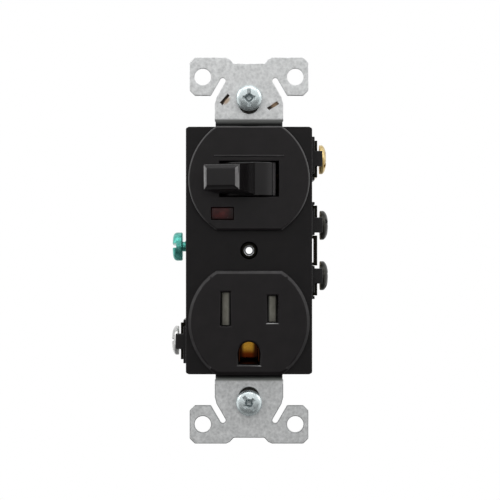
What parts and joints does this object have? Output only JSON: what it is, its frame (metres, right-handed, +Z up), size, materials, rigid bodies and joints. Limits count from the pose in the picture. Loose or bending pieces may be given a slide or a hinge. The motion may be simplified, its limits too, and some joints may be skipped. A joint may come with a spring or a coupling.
{
  "type": "switch and socket combination",
  "caption": "Black switch and socket combination: a rocking toggle with a red pilot window above a shuttered grounded receptacle, on a wrap-around steel strap with side terminals.",
  "frame": {"origin": "midway between the four ear holes and between the two mounting screw axes, in the rear plane of the strap ears", "axes": "+Z up along the device, the faces look along -Y, +X to the viewer's right"},
  "size_m": [0.0434, 0.049, 0.106],
  "materials": {
    "galvanised_steel": "zinc coated sheet, faint spangle",
    "black_moulding": "black moulded, low gloss",
    "black_base_moulding": "black moulded, satin",
    "black_toggle": "black moulded, glossy",
    "spring_steel": "drawn wire",
    "spring_bronze": "bright rolled sheet",
    "silver_contact": "smooth",
    "brass_strip": "stamped sheet",
    "plated_strip": "plated sheet",
    "grey_shutter": "grey moulded",
    "tray_plastic": "dark grey moulded",
    "red_lens": "dark red, clear",
    "lamp_glass": "clear",
    "resistor_body": "painted",
    "brass_screw_metal": "bright",
    "black_screw_metal": "blackened",
    "silver_screw_metal": "plated",
    "green_screw_metal": "green finish",
    "zinc_screw_metal": "bright zinc",
    "fibre_washer": "pressed fibre",
    "steel_post": "bright",
    "rivet_steel": "plated"
  },
  "bodies": {
    "device": {"strap": "galvanised_steel", "cover": "black_moulding", "base": "black_base_moulding", "toggle_spring": "spring_steel", "fixed_contact_tip": "silver_contact", "switch_load_terminal": "brass_strip", "hot_terminal_strip": "brass_strip", "neutral_terminal_strip": "plated_strip", "hot_contact": "spring_bronze", "neutral_contact": "spring_bronze", "ground_contact": "spring_bronze", "shutter_spring": "spring_steel", "shutter_tray": "tray_plastic", "pilot_lens": "red_lens", "neon_lamp": "lamp_glass", "resistor": "resistor_body", "retaining_washer_top": "fibre_washer", "retaining_washer_bottom": "fibre_washer", "centre_post": "steel_post", "rivet_left": "rivet_steel", "rivet_right": "rivet_steel", "ground_rivet": "rivet_steel"},
    "toggle": {"toggle": "black_toggle"},
    "contact_leaf": {"contact_blade": "spring_bronze", "moving_contact_tip": "silver_contact"},
    "shutter_left": {"shutter_left": "grey_shutter"},
    "shutter_right": {"shutter_right": "grey_shutter"},
    "brass_screw": {"brass_screw": "brass_screw_metal"},
    "black_screw_upper": {"black_screw_upper": "black_screw_metal"},
    "black_screw_lower": {"black_screw_lower": "black_screw_metal"},
    "silver_screw": {"silver_screw": "silver_screw_metal"},
    "green_screw": {"green_screw": "green_screw_metal"},
    "mounting_screw_top": {"mounting_screw_top": "zinc_screw_metal"},
    "mounting_screw_bottom": {"mounting_screw_bottom": "zinc_screw_metal"}
  },
  "joints": [
    {"name": "toggle_rock", "type": "hinge", "parent": "device", "child": "toggle", "pos_m": [0, 0.0005, 0.01945], "axis": [0, 0, 1], "range_deg": [0, 40], "deforming": ["toggle_spring"]},
    {"name": "contact_leaf_bend", "type": "hinge", "parent": "device", "child": "contact_leaf", "pos_m": [0.00503, 0.022, 0.01945], "axis": [0, 0, -1], "range_deg": [0, 6]},
    {"name": "left_shutter_slide", "type": "slide", "parent": "device", "child": "shutter_left", "axis": [1, 0, 0], "range_m": [0, 0.0036], "stiffness_N_per_m": 20, "deforming": ["shutter_spring"]},
    {"name": "right_shutter_slide", "type": "slide", "parent": "device", "child": "shutter_right", "axis": [1, 0, 0], "range_m": [-0.0036, 0]},
    {"name": "brass_screw_travel", "type": "slide", "parent": "device", "child": "brass_screw", "axis": [1, 0, 0], "range_m": [0, 0.0025]},
    {"name": "black_screw_upper_travel", "type": "slide", "parent": "device", "child": "black_screw_upper", "axis": [1, 0, 0], "range_m": [0, 0.0025]},
    {"name": "black_screw_lower_travel", "type": "slide", "parent": "device", "child": "black_screw_lower", "axis": [1, 0, 0], "range_m": [0, 0.0025]},
    {"name": "silver_screw_travel", "type": "slide", "parent": "device", "child": "silver_screw", "axis": [-1, 0, 0], "range_m": [0, 0.0025]},
    {"name": "green_screw_travel", "type": "slide", "parent": "device", "child": "green_screw", "axis": [-1, 0, 0], "range_m": [0, 0.0025]},
    {"name": "mounting_screw_top_travel", "type": "slide", "parent": "device", "child": "mounting_screw_top", "axis": [0, 1, 0], "range_m": [0, 0.0019]},
    {"name": "mounting_screw_bottom_travel", "type": "slide", "parent": "device", "child": "mounting_screw_bottom", "axis": [0, 1, 0], "range_m": [0, 0.0019]}
  ],
  "couplings": [
    {"joint": "contact_leaf_bend", "follows": "toggle_rock", "ratio": 0.15},
    {"joint": "right_shutter_slide", "follows": "left_shutter_slide", "ratio": -1}
  ]
}
